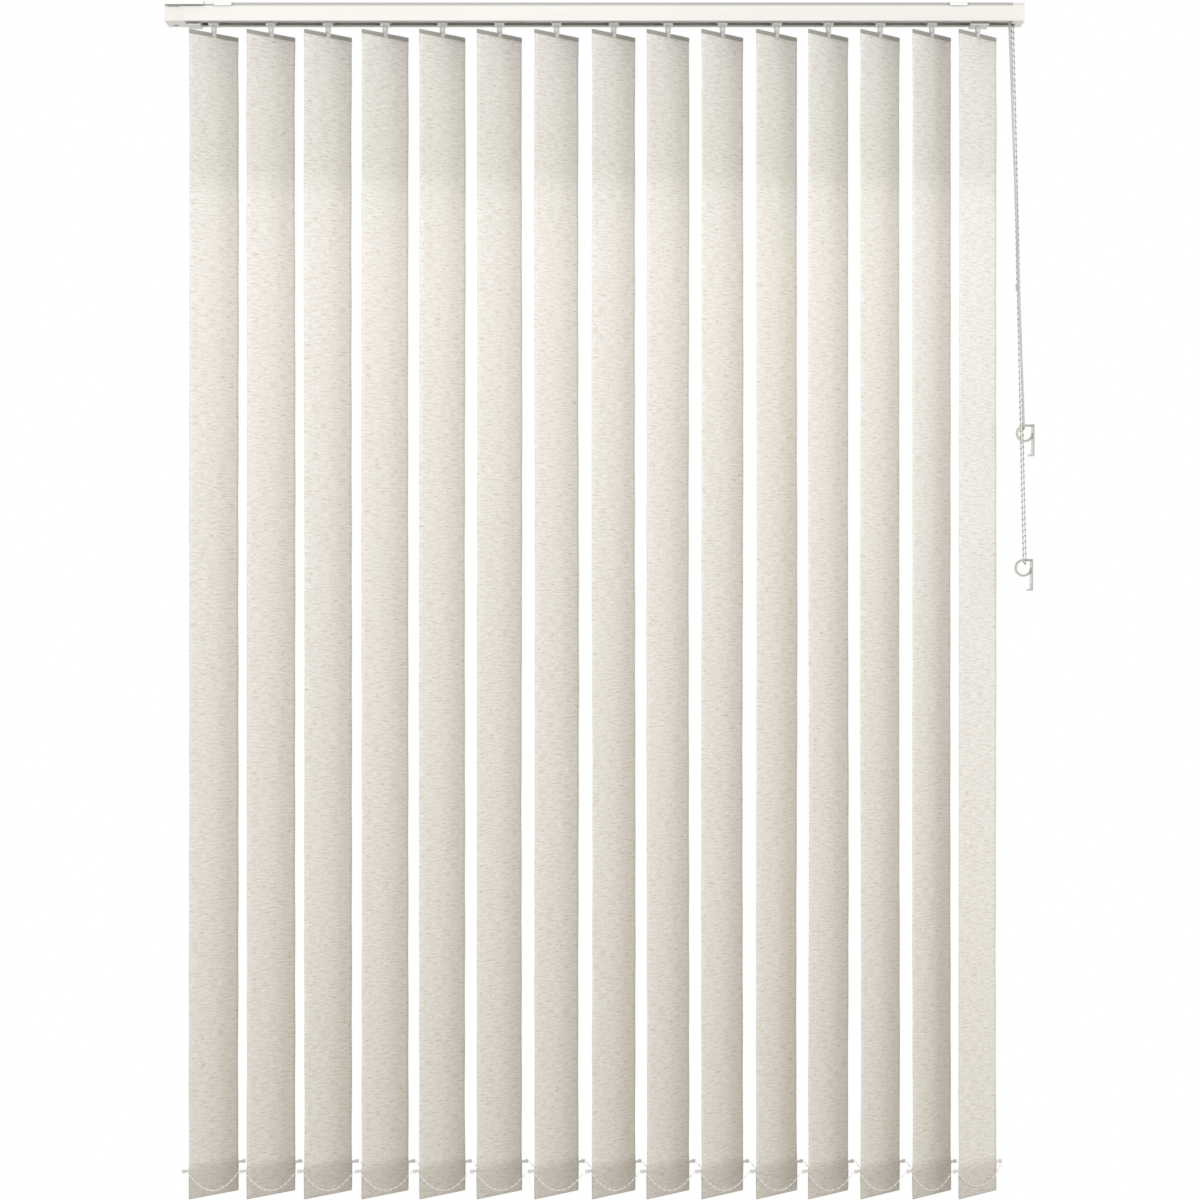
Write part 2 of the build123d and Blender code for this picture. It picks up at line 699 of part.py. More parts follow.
save(cord_tube("control_cord", cord_route, cord_radius, cord_arcs), "control_cord")

# --- Control chain: over the chain wheel and down to the lower wall clip ---
chain_half_turn = ring_diagonal + chain_radius + 0.3
chain_low = chain_clip_z - ring_band / 2 - chain_half_turn
chain_front_x = wall_x - chain_wall_gap
chain_rear_x = chain_front_x - chain_slant
chain_top = rod_z + chain_turn
joint_share = 0.5            # how far down the rear strand the connector sits
rear_top = Vector(chain_wheel_x, rod_y + chain_turn, chain_top)
rear_low = Vector(chain_rear_x, chain_clip_y + chain_half_turn, chain_low)
rear_run = rear_low - rear_top
joint_middle = rear_top + rear_run * joint_share
joint_half = rear_run.normalized() * (connector_length / 2 - 1.5)
chain_route = [
    tuple(joint_middle + joint_half),
    tuple(rear_low),
    (chain_front_x, chain_clip_y - chain_half_turn, chain_low),
    (chain_wheel_x, rod_y - chain_turn, chain_top),
    tuple(rear_top),
    tuple(joint_middle - joint_half),
]
chain_arcs = {1: chain_half_turn - 0.3, 2: chain_half_turn - 0.3, 3: chain_turn - 0.2, 4: chain_turn - 0.2}
chain_loop = cord_tube("control_chain", chain_route, chain_radius, chain_arcs)
with BuildPart() as connector:
    with BuildSketch(Plane(origin=joint_middle - rear_run.normalized() * connector_length / 2, z_dir=rear_run)):
        Circle(connector_radius)
    extrude(amount=connector_length)
    fillet(connector.edges(), 0.8)
    for outward in (-1, 1):
        with BuildSketch(Plane(origin=joint_middle + joint_half * outward, z_dir=rear_run * outward)):
            Circle(chain_radius)
        extrude(amount=3, mode=Mode.SUBTRACT)
save(Compound(children=[*chain_loop.solids(), *connector.part.solids()]), "control_chain")

# --- Bottom chains: one span from each slat's button to the next ---
span_shape = [(0, 0), (1 / 8, -1 / 2), (3 / 8, -1), (5 / 8, -1), (7 / 8, -1 / 2), (1, 0)]


def bottom_chain(side):
    """All the spans along one edge of the slats: side -1 is the near edge, 1 the far edge."""
    turn = radians(rest_angle)
    spans = []
    for place in range(slat_count - 1):
        start = stems[place] + side * button_arm * cos(turn) + bottom_chain_gap
        width = pitches[place] - 2 * bottom_chain_gap
        y = side * button_arm * sin(turn)
        route = [(start + along * width, y, button_z + drop * bottom_chain_sag) for along, drop in span_shape]
        spans += cord_tube(f"span_{side}_{place + 1}", route, bottom_chain_radius).solids()
    return Compound(children=spans)


save(bottom_chain(-1), "bottom_chain_front")
save(bottom_chain(1), "bottom_chain_back")

# The last slat's chain hangs across its own face, from the near button to the far one.
end_half = button_arm - 1.5
end_route = [(-end_half, -4.0, 0), (-43.0, -4.8, -13.0), (-17.0, -5.4, -26.0),
             (17.0, -5.2, -26.0), (43.0, -4.6, -13.0), (end_half, -4.0, 0)]
end_plane = slat_plane(slat_count - 1, button_z)
end_points = [tuple(end_plane.from_local_coords(Vector(*point))) for point in end_route]
save(cord_tube("end_chain", end_points, bottom_chain_radius), "end_chain")
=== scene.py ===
"""Vertical blind: fabric slats, bead chains, materials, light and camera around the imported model."""
import json
import math
import bmesh
import bpy
from mathutils import Matrix, Vector


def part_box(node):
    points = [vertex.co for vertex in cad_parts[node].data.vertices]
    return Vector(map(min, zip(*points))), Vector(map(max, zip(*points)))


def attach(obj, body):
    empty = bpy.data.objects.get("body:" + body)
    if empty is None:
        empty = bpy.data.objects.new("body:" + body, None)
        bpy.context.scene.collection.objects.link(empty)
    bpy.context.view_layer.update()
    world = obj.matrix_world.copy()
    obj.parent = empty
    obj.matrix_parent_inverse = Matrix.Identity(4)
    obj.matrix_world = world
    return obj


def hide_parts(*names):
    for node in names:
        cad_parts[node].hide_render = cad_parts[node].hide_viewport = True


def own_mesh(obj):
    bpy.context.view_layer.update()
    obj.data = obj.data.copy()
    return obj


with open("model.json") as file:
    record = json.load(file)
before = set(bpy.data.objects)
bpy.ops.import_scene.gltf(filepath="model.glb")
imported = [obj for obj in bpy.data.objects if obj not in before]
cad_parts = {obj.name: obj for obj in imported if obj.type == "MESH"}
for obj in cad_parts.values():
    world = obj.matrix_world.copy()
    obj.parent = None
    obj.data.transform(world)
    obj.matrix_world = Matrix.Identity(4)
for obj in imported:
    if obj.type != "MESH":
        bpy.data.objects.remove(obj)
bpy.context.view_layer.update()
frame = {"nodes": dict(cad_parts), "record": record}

# --- Sizes from the frame, in metres ---
joints = {joint["name"]: joint for joint in frame["record"]["behaviour"]["joints"]}
slat_count = sum(name.startswith("slat_") for name in frame["nodes"])
turn_names = ["tilt"] + [f"turn_{place:02d}" for place in range(2, slat_count + 1)]
stems = [joints[name]["pos_m"][0] for name in turn_names]
near_button = Vector(joints["chain_swing_front"]["pos_m"])
far_button = Vector(joints["chain_swing_back"]["pos_m"])
rest_angle = math.atan2(far_button.y - near_button.y, far_button.x - near_button.x)
slat_along = Vector((math.cos(rest_angle), math.sin(rest_angle), 0))
slat_across = Vector((-slat_along.y, slat_along.x, 0))
button_z = near_button.z
slat_low, slat_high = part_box("slat_01")
fabric_top = slat_high[2]
fabric_bottom = slat_low[2]
slat_width = 0.089
hem_height = 0.016
pocket_height = 0.044
pocket_top = fabric_bottom + pocket_height
bar_height = 0.0055          # the hanger bar's band above the cloth
bar_sink = 0.002             # how far that band reaches down behind the cloth
fork_reach = 0.0036          # the fork's furthest corner from its stem's axis
rail_low, rail_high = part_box("headrail")

# --- Object helpers ---
def link(thing):
    bpy.context.scene.collection.objects.link(thing)


def object_from(name, mesh):
    """An object in the scene from a finished bmesh, which is freed."""
    data = bpy.data.meshes.new(name)
    mesh.to_mesh(data)
    mesh.free()
    made = bpy.data.objects.new(name, data)
    link(made)
    return made


def nurbs_curve(name, route, resolution):
    """A smooth curve whose control points are route."""
    curve = bpy.data.curves.new(name, "CURVE")
    curve.dimensions = "3D"
    curve.resolution_u = resolution
    spline = curve.splines.new("NURBS")
    spline.points.add(len(route) - 1)
    for point, place in zip(spline.points, route):
        point.co = (*place, 1)
    spline.order_u = 3
    spline.use_endpoint_u = True
    return curve


# --- Camera, at the photograph's viewing angle ---
eye_distance = 4.2
picture_width = 1.664        # what the picture spans at the slats' plane
eye_height = -0.844
picture_middle = 0.0129
sensor_width = 36.0
horizon_drop = 13 / 1200     # the eye's level lies this share of the picture under its middle


def add_camera():
    data = bpy.data.cameras.new("camera")
    data.sensor_width = sensor_width
    data.lens = sensor_width * eye_distance / picture_width
    data.shift_y = horizon_drop
    camera = bpy.data.objects.new("camera", data)
    camera.location = (picture_middle, -eye_distance, eye_height)
    camera.rotation_euler = (math.pi / 2, 0, 0)
    link(camera)
    bpy.context.scene.camera = camera


# --- Node helpers ---
def new_material(name):
    material = bpy.data.materials.new(name)
    material.use_nodes = True
    tree = material.node_tree
    return material, tree, tree.nodes["Principled BSDF"]


def node(tree, kind, **settings):
    made = tree.nodes.new(kind)
    for key, value in settings.items():
        setattr(made, key, value)
    return made


def map_range(tree, value, low, high, to_low=0.0, to_high=1.0):
    made = node(tree, "ShaderNodeMapRange")
    for socket, level in (("From Min", low), ("From Max", high), ("To Min", to_low), ("To Max", to_high)):
        made.inputs[socket].default_value = level
    tree.links.new(value, made.inputs["Value"])
    return made.outputs["Result"]


def mapped(tree, source, scale):
    """Texture coordinates from source, scaled per axis."""
    coordinates = node(tree, "ShaderNodeTexCoord")
    mapping = node(tree, "ShaderNodeMapping")
    mapping.inputs["Scale"].default_value = scale
    tree.links.new(coordinates.outputs[source], mapping.inputs["Vector"])
    return mapping.outputs["Vector"]


def noise(tree, vector, scale=1.0, detail=2.0, roughness=0.5):
    texture = node(tree, "ShaderNodeTexNoise")
    texture.inputs["Scale"].default_value = scale
    texture.inputs["Detail"].default_value = detail
    texture.inputs["Roughness"].default_value = roughness
    tree.links.new(vector, texture.inputs["Vector"])
    return texture.outputs["Fac"]


def ramp(tree, value, stops):
    """A colour ramp over value: stops are (position, colour)."""
    made = node(tree, "ShaderNodeValToRGB")
    band = made.color_ramp
    while len(band.elements) < len(stops):
        band.elements.new(0.5)
    for element, (position, colour) in zip(band.elements, stops):
        element.position = position
        element.color = (*colour, 1)
    tree.links.new(value, made.inputs["Fac"])
    return made.outputs["Color"]


def mixed(tree, blend, share, first, second):
    """first and second mixed: share is a number or a socket."""
    mix = node(tree, "ShaderNodeMix", data_type="RGBA", blend_type=blend)
    for place, value in ((0, share), (6, first), (7, second)):
        socket = mix.inputs[place]
        if isinstance(value, (int, float)):
            socket.default_value = value
        elif isinstance(value, tuple):
            socket.default_value = (*value, 1)
        else:
            tree.links.new(value, socket)
    return mix.outputs[2]


def bump(tree, shader, height, strength, distance):
    made = node(tree, "ShaderNodeBump")
    made.inputs["Strength"].default_value = strength
    made.inputs["Distance"].default_value = distance
    tree.links.new(height, made.inputs["Height"])
    tree.links.new(made.outputs["Normal"], shader.inputs["Normal"])


def linear(*levels):
    """A colour from display levels of 0 to 255."""
    return tuple(((v / 255 + 0.055) / 1.055) ** 2.4 if v > 10 else v / 3295 for v in levels)


# --- Materials ---
gloss_spread = 0.06                # how far moulded plastic's roughness wanders
downward_painted_shade = (0.55, 0.54, 0.53)   # painted shade: what painted metal keeps of its colour on faces turned down


def plastic(name, colour, shade, roughness, grain=900.0, depth=0.00004, coat=0.0):
    """Moulded plastic: a fine grain, a faint mottling of its colour and a soft gloss."""
    material, tree, shader = new_material(name)
    place = mapped(tree, "Object", (1, 1, 1))
    mottle = ramp(tree, noise(tree, place, scale=35, detail=3), [(0.3, shade), (0.7, colour)])
    tree.links.new(mottle, shader.inputs["Base Color"])
    worn = noise(tree, place, scale=60, detail=4)
    gloss = map_range(tree, worn, 0.0, 1.0, roughness - gloss_spread, roughness + gloss_spread)
    tree.links.new(gloss, shader.inputs["Roughness"])
    bump(tree, shader, noise(tree, place, scale=grain), strength=0.3, distance=depth)
    shader.inputs["Coat Weight"].default_value = coat
    return material


def height_ramp(tree, low, high):
    """How far up between two heights a point is, from 0 to 1."""
    coordinates = node(tree, "ShaderNodeTexCoord")
    split = node(tree, "ShaderNodeSeparateXYZ")
    tree.links.new(coordinates.outputs["Object"], split.inputs["Vector"])
    return map_range(tree, split.outputs["Z"], low, high)


def painted_metal(name, colour, shade, light_and_shade_bands=()):
    """Powder-coated aluminium: a fine orange peel, hair-thin streaks along the extrusion, and painted shade on
    faces turned down.
    light_and_shade_bands are (share of the rail's height, grey level) pairs of painted light and shade that
    tint it from bottom to top."""
    material, tree, shader = new_material(name)
    place = mapped(tree, "Object", (1, 1, 1))
    drawn = mapped(tree, "Object", (0.6, 60, 60))
    paint = ramp(tree, noise(tree, drawn, scale=8, detail=3), [(0.35, shade), (0.6, colour)])
    # painted light and shade over the rail's height, from the bands
    if light_and_shade_bands:
        up = height_ramp(tree, rail_low[2], rail_high[2])
        painted_light_and_shade = ramp(tree, up, [(at, (grey, grey, grey)) for at, grey in light_and_shade_bands])
        paint = mixed(tree, "MULTIPLY", 1.0, paint, painted_light_and_shade)
    surface = node(tree, "ShaderNodeNewGeometry")
    facing = node(tree, "ShaderNodeSeparateXYZ")
    tree.links.new(surface.outputs["True Normal"], facing.inputs["Vector"])
    # painted shade: faces turned down are darkened towards downward_painted_shade
    downward_shade_share = map_range(tree, facing.outputs["Z"], -0.5, -0.95)
    paint = mixed(tree, "MULTIPLY", downward_shade_share, paint, downward_painted_shade)
    tree.links.new(paint, shader.inputs["Base Color"])
    shader.inputs["Roughness"].default_value = 0.38
    shader.inputs["Coat Weight"].default_value = 0.1
    bump(tree, shader, noise(tree, place, scale=1400), strength=0.25, distance=0.00003)
    return material


def bare_metal(name, colour):
    """Drawn aluminium with fine lines along its length."""
    material, tree, shader = new_material(name)
    drawn = mapped(tree, "Object", (3, 900, 900))
    dark = tuple(0.8 * level for level in colour)
    lines = ramp(tree, noise(tree, drawn, scale=2, detail=3), [(0.3, dark), (0.7, colour)])
    tree.links.new(lines, shader.inputs["Base Color"])
    shader.inputs["Metallic"].default_value = 1.0
    shader.inputs["Roughness"].default_value = 0.34
    bump(tree, shader, noise(tree, drawn, scale=4), strength=0.2, distance=0.00003)
    return material


def fabric_material():
    """Off-white slub weave: flat threads across, uneven darker flecks, and painted light and shade down its
    height, greyer top and bottom.
    """
    material, tree, shader = new_material("slub_weave")
    up = height_ramp(tree, fabric_bottom, fabric_top)
    # Painted light and shade down the cloth: brightest in the upper middle, darker towards the bottom and
    # greyer over the pocket, with a painted shadow of the headrail over the top part and a thin grey line just
    # under the top edge, the hem's seam with painted shade of its fold.
    painted_light_tone = ramp(tree, up, [
        (0.0, linear(210, 205, 195)),
        (0.0265, linear(212, 207, 198)),
        (0.0295, linear(230, 226, 218)),
        (0.25, linear(236, 232, 225)),
        (0.55, linear(241, 238, 232)),
        (0.80, linear(247, 244, 239)),
        (0.862, linear(245, 243, 238)),
        (0.885, linear(234, 232, 226)),
        (0.9968, linear(234, 232, 227)),
        (0.9974, linear(200, 199, 194)),
        (0.9982, linear(204, 203, 198)),
        (0.9986, linear(232, 230, 225)),
    ])
    threads = mapped(tree, "UV", (140, 2600, 1))
    warp = mapped(tree, "UV", (1700, 90, 1))
    slubs = mapped(tree, "UV", (60, 430, 1))
    flecks = mapped(tree, "UV", (110, 520, 1))
    thread_level = noise(tree, threads, detail=3, roughness=0.6)
    warp_level = noise(tree, warp)
    slub_level = noise(tree, slubs, detail=4, roughness=0.62)
    fleck_level = noise(tree, flecks)
    weft = ramp(tree, thread_level, [(0.3, (0.80, 0.79, 0.78)), (0.62, (1.02, 1.02, 1.02))])
    warp_tone = ramp(tree, warp_level, [(0.3, (0.93, 0.93, 0.92)), (0.7, (1, 1, 1))])
    slub_tone = ramp(tree, slub_level, [
        (0.38, (1.03, 1.03, 1.03)),
        (0.54, (0.95, 0.94, 0.92)),
        (0.70, (0.80, 0.76, 0.71)),
    ])
    fleck_tone = ramp(tree, fleck_level, [(0.62, (1, 1, 1)), (0.72, (0.70, 0.58, 0.50))])
    colour = mixed(tree, "MULTIPLY", 1.0, painted_light_tone, weft)
    colour = mixed(tree, "MULTIPLY", 1.0, colour, warp_tone)
    colour = mixed(tree, "MULTIPLY", 1.0, colour, slub_tone)
    colour = mixed(tree, "MULTIPLY", 0.8, colour, fleck_tone)
    tree.links.new(colour, shader.inputs["Base Color"])
    shader.inputs["Roughness"].default_value = 0.86
    shader.inputs["Specular IOR Level"].default_value = 0.25
    shader.inputs["Sheen Weight"].default_value = 0.15
    shader.inputs["Sheen Roughness"].default_value = 0.5
    relief = mixed(tree, "ADD", 1.0, thread_level, slub_level)
    bump(tree, shader, relief, strength=0.55, distance=0.00022)
    return material


def fitting_material(place):
    """White stem, fork and buttons; the hanger bar between them is painted grey as painted shade. The fork
    straddles the bar.
    """
    name = f"hanger_plastic_{place + 1:02d}"
    material = plastic(name, linear(216, 214, 209), linear(202, 200, 195), 0.34)
    tree = material.node_tree
    shader = tree.nodes["Principled BSDF"]
    mottle = shader.inputs["Base Color"].links[0].from_socket
    up = height_ramp(tree, fabric_top - bar_sink, fabric_top + bar_height)
    share = ramp(tree, up, [(0.0, (0, 0, 0)), (0.05, (1, 1, 1)), (0.90, (1, 1, 1)), (0.98, (0, 0, 0))])
    coordinates = node(tree, "ShaderNodeTexCoord")
    flat = node(tree, "ShaderNodeVectorMath", operation="MULTIPLY")
    flat.inputs[1].default_value = (1, 1, 0)
    tree.links.new(coordinates.outputs["Object"], flat.inputs[0])
    reach = node(tree, "ShaderNodeVectorMath", operation="DISTANCE")
    reach.inputs[1].default_value = (stems[place], 0, 0)
    tree.links.new(flat.outputs["Vector"], reach.inputs[0])
    outside = node(tree, "ShaderNodeMath", operation="GREATER_THAN")
    outside.inputs[1].default_value = fork_reach
    tree.links.new(reach.outputs["Value"], outside.inputs[0])
    bar = mixed(tree, "MULTIPLY", 1.0, share, outside.outputs["Value"])
    # painted shade: the hanger bar's band above the cloth, outside the fork, is painted grey
    paint = mixed(tree, "MIX", bar, mottle, linear(158, 155, 149))
    tree.links.new(paint, shader.inputs["Base Color"])
    return material


# --- Fabric slats ---
fabric_gauge = 0.00045       # the cloth's thickness
hem_bulge = 0.00085
pocket_bulge = 0.00115
sheet_rows = 110
sheet_columns = 14
near_curl = 0.0005           # how far the free edges stand out of plane
pocket_flare = 0.0007
edge_pinch = 0.6             # how much flatter hem and pocket are at the cut edges
pinch_reach = 0.009
edge_wander = 0.0003         # how far the cut edges wander in the cloth's plane
sheet_start = 1.25           # where the flat sheet starts, in hem heights below the top
sheet_stop = 0.004           # how far above the pocket it ends
flare_drop = 0.01            # the pocket's flare is widest this far below the pocket's top
flare_spread = 0.02
slow_sway = 0.00035
quick_sway = 0.0002
sway_fade_top = 0.12         # the sway fades out over this height below the top
sway_fade_bottom = 0.10
weave_shift = (0.31, 0.17)   # moves the weave from slat to slat, so that no two look alike


def cloth_section():
    """The cloth's line from the hem's flap over the top, down the sheet and round the pocket."""
    flap = [(hem_bulge, fabric_top - hem_height * share) for share in (1.0, 0.75, 0.5, 0.25, 0.05)]
    front = [(-hem_bulge, fabric_top - hem_height * share) for share in (0.05, 0.3, 0.6, 0.92)]
    start = fabric_top - hem_height * sheet_start
    stop = pocket_top + sheet_stop
    sheet = [(0.0, start + (stop - start) * row / sheet_rows) for row in range(sheet_rows + 1)]
    depth = pocket_top - fabric_bottom
    swell = [0.25, 0.75, 0.95, 1.0, 1.0, 1.0, 0.95, 0.8]
    falls = [0.0, 0.05, 0.12, 0.3, 0.5, 0.7, 0.88, 0.97]
    down = [(-pocket_bulge * w, pocket_top - depth * f) for w, f in zip(swell, falls)]
    fold = [(0.0, fabric_bottom)]
    back = [(-t, z) for t, z in reversed(down)]
    return flap + [(0.0, fabric_top)] + front + sheet + down + fold + back


def ripple(place, u, z):
    """How far the hanging cloth stands out of its plane: soft, uneven and nil at its bars."""
    ends = max(0.0, min(1.0, (fabric_top - z) / sway_fade_top, (z - pocket_top) / sway_fade_bottom))
    across = u / (slat_width / 2)
    slow = slow_sway * math.sin(2.1 * z * math.pi + place * 1.7)
    sway = slow + quick_sway * math.sin(7.3 * z + place * 2.9 + across)
    return ends * (sway + near_curl * across**2 * math.sin(3.1 * z + 1.3 * place))


def slat_mesh(place):
    """One slat's cloth as an open sheet, thickened."""
    section = cloth_section()
    mesh = bmesh.new()
    uv_layer = mesh.loops.layers.uv.new("UVMap")
    grid = []
    lengths = [0.0]
    for before, after in zip(section, section[1:]):
        lengths.append(lengths[-1] + math.dist(before, after))
    for thickness, z in section:
        row = []
        flare = 1 + pocket_flare / slat_width * math.exp(-((z - pocket_top + flare_drop) / flare_spread) ** 2)
        for column in range(sheet_columns + 1):
            u = (column / sheet_columns - 0.5) * slat_width
            near_edge = (abs(u) - slat_width / 2 + pinch_reach) / pinch_reach
            pinch = 1 - edge_pinch * max(0.0, min(1.0, near_edge))
            t = thickness * pinch + ripple(place, u, z)
            u += edge_wander * math.sin(41 * z + 2.3 * place + column) * (2 * column / sheet_columns - 1)
            row.append(mesh.verts.new(Vector((stems[place], 0, z)) + slat_along * u * flare + slat_across * t))
        grid.append(row)
    for index in range(len(section) - 1):
        for column in range(sheet_columns):
            corners = [(index, column), (index, column + 1), (index + 1, column + 1), (index + 1, column)]
            face = mesh.faces.new([grid[i][j] for i, j in corners])
            face.smooth = True
            for loop, (i, j) in zip(face.loops, corners):
                loop[uv_layer].uv = (j / sheet_columns * slat_width + place * weave_shift[0],
                                     lengths[i] + place * weave_shift[1])
    cloth = object_from(f"fabric_slat_{place + 1:02d}", mesh)
    solid = cloth.modifiers.new("gauge", "SOLIDIFY")
    solid.thickness = fabric_gauge
    solid.offset = 0.0
    return cloth, lengths[-1]


def add_slats(material):
    for place in range(slat_count):
        cloth, cut_length = slat_mesh(place)
        cloth.data.materials.append(material)
        body = f"vane_{place + 1:02d}"
        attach(cloth, body)
        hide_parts(f"slat_{place + 1:02d}")


# --- Chains ---
line_resolution = 24
bead_sides = 12
bead_bands = 8
string_sides = 6
end_inset = 0.0015           # how far inside the buttons' centres the end chain starts


def smooth_line(name, route):
    """Points along the NURBS line whose control points are route."""
    curve = nurbs_curve(name, route, line_resolution)
    holder = bpy.data.objects.new(name, curve)
    link(holder)
    bpy.context.view_layer.update()
    drawn = bpy.data.meshes.new_from_object(holder)
    points = [vertex.co.copy() for vertex in drawn.vertices]
    bpy.data.objects.remove(holder)
    bpy.data.meshes.remove(drawn)
    bpy.data.curves.remove(curve)
    return points


def walk(points, step):
    """Places every step along a line, with the direction there, and the line's length."""
    length = sum((b - a).length for a, b in zip(points, points[1:]))
    count = max(2, round(length / step))
    places = []
    at, passed = 0, 0.0
    for index in range(count + 1):
        target = length * index / count
        while at < len(points) - 2 and passed + (points[at + 1] - points[at]).length < target:
            passed += (points[at + 1] - points[at]).length
            at += 1
        run = points[at + 1] - points[at]
        places.append((points[at] + run * min(1.0, (target - passed) / run.length), run.normalized()))
    return places, length


def ring_of(mesh, centre, direction, radius, sides):
    """A ring of vertices round a line."""
    side = direction.orthogonal().normalized()
    other = direction.cross(side)
    angles = [2 * math.pi * k / sides for k in range(sides)]
    return [mesh.verts.new(centre + (side * math.cos(a) + other * math.sin(a)) * radius) for a in angles]


def bead_chain(name, route, bead_radius, pitch, string_radius, material):
    """Moulded beads on a thin string, along the route's smooth line."""
    points = smooth_line(name + "_line", route)
    places, length = walk(points, pitch)
    mesh = bmesh.new()
    for centre, direction in places[1:-1]:
        turn = direction.to_track_quat("Z", "Y").to_matrix().to_4x4()
        made = bmesh.ops.create_uvsphere(mesh, u_segments=bead_sides, v_segments=bead_bands, radius=bead_radius,
                                         matrix=Matrix.Translation(centre) @ turn)
        for vertex in made["verts"]:
            for face in vertex.link_faces:
                face.smooth = True
    rings = []
    fine, _ = walk(points, pitch / 3)
    for centre, direction in fine:
        rings.append(ring_of(mesh, centre, direction, string_radius, string_sides))
    for one, two in zip(rings, rings[1:]):
        offset = min(range(string_sides), key=lambda k: (one[0].co - two[k].co).length)
        for k in range(string_sides):
            after = (k + 1) % string_sides
            near, far = (k + offset) % string_sides, (after + offset) % string_sides
            mesh.faces.new((one[k], one[after], two[far], two[near])).smooth = True
    mesh.faces.new(list(reversed(rings[0])))
    mesh.faces.new(rings[-1])
    chain = object_from(name, mesh)
    chain.data.materials.append(material)
    return chain, length, [centre for centre, _ in fine]


bottom_bead = 0.0012
bottom_pitch = 0.0076
bottom_string = 0.0004
bottom_sag = 0.026
bottom_gap = 0.0039
span_shape = [(0, 0), (1 / 8, -1 / 2), (3 / 8, -1), (5 / 8, -1), (7 / 8, -1 / 2), (1, 0)]


def add_bottom_chains(material):
    for side, button in (("front", near_button), ("back", far_button)):
        for place in range(slat_count - 1):
            start = stems[place] + button.x - stems[-1] + bottom_gap
            width = stems[place + 1] - stems[place] - 2 * bottom_gap
            route = [(start + along * width, button.y, button_z + drop * bottom_sag)
                     for along, drop in span_shape]
            name = f"chain_{side}_{place + 1:02d}"
            chain, length, path = bead_chain(name, route, bottom_bead, bottom_pitch, bottom_string, material)
            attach(chain, f"chain_{side}")
            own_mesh(chain)
            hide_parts(f"bottom_chain_{side}")


def add_end_chain(material):
    reach = (far_button - near_button).length / 2 - end_inset
    shape = [(-reach, -0.0040, 0), (-0.043, -0.0048, -0.013), (-0.017, -0.0054, -0.026),
             (0.017, -0.0052, -0.026), (0.043, -0.0046, -0.013), (reach, -0.0040, 0)]
    middle = Vector((stems[-1], 0, button_z))
    route = [tuple(middle + slat_along * u + slat_across * t + Vector((0, 0, z))) for u, t, z in shape]
    chain, length, path = bead_chain("chain_end_loop", route, bottom_bead, bottom_pitch, bottom_string,
                                     material)
    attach(chain, f"vane_{slat_count:02d}")
    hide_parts("end_chain")


# --- Control cord and chain: their points are repeated from the part's source ---
cord_radius = 0.001
cord_resolution = 16
cord_bevel = 3
cord_route = [
    (-0.5244, -0.0020, -0.0078),
    (-0.5680, -0.0020, -0.0078),
    (-0.5760, -0.0020, -0.0078),
    (-0.5760, -0.0100, -0.0078),
    (-0.5680, -0.0100, -0.0078),
    (0.56485, -0.0100, -0.0078),
    (0.57915, -0.0100, -0.0078),
    (0.57966, -0.01001, -0.0221),
    (0.59969, -0.01027, -0.58033),
    (0.60000, -0.01027, -0.58887),
    (0.60000, -0.00173, -0.58887),
    (0.59969, -0.00173, -0.58033),
    (0.57966, -0.00199, -0.0221),
    (0.57915, -0.0020, -0.0078),
    (0.56485, -0.0020, -0.0078),
    (-0.5204, -0.0020, -0.0078),
]
chain_route = [
    (0.59397, 0.01526, -0.39416),
    (0.60179, 0.01321, -0.76573),
    (0.60200, 0.01317, -0.77547),
    (0.60400, 0.00343, -0.77547),
    (0.60376, 0.00337, -0.76573),
    (0.58597, -0.00074, -0.02415),
    (0.58550, -0.00085, -0.00585),
    (0.58550, 0.01745, -0.00585),
    (0.58592, 0.01734, -0.02415),
    (0.59354, 0.01536, -0.38716),
]
control_bead = 0.0016
control_pitch = 0.0082
control_string = 0.0006
joint_radius = 0.0026
joint_half = 0.005
joint_sides = 24


def add_control_cord(material):
    curve = nurbs_curve("operating_cord", cord_route, cord_resolution)
    curve.bevel_depth = cord_radius
    curve.bevel_resolution = cord_bevel
    curve.materials.append(material)
    line = bpy.data.objects.new("operating_cord", curve)
    link(line)
    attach(line, "rail")
    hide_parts("control_cord")


def chain_joint(material):
    """The snap connector that closes the control chain: a waisted barrel."""
    start, end = Vector(chain_route[0]), Vector(chain_route[-1])
    middle = (start + end) / 2
    direction = (end - start).normalized()
    profile = [(-1.0, 0.55), (-0.92, 0.86), (-0.7, 1.0), (-0.25, 0.96), (0.0, 0.72),
               (0.25, 0.96), (0.7, 1.0), (0.92, 0.86), (1.0, 0.55)]
    mesh = bmesh.new()
    rings = [ring_of(mesh, middle + direction * joint_half * along, direction, joint_radius * wide, joint_sides)
             for along, wide in profile]
    for one, two in zip(rings, rings[1:]):
        for k in range(joint_sides):
            after = (k + 1) % joint_sides
            mesh.faces.new((one[k], one[after], two[after], two[k])).smooth = True
    mesh.faces.new(list(reversed(rings[0])))
    mesh.faces.new(rings[-1])
    joint = object_from("chain_connector", mesh)
    joint.data.materials.append(material)
    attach(joint, "rail")
    return joint


def add_control_chain(material):
    chain, length, path = bead_chain("control_bead_chain", chain_route, control_bead, control_pitch,
                                     control_string, material)
    joint = chain_joint(material)
    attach(chain, "rail")
    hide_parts("control_chain")


# --- CAD nodes that stay in view ---
# Painted light and shade on the rail, bottom to top: a darker lower edge, a bright strip just above it, and a
# darker top where the recessed neck lies in shadow.
rail_light_and_shade_bands = [(0.0, 0.90), (0.05, 0.93), (0.07, 1.02), (0.12, 0.99), (0.78, 1.0),
              (0.80, 0.84), (0.88, 0.80), (0.89, 0.70), (1.0, 0.66)]


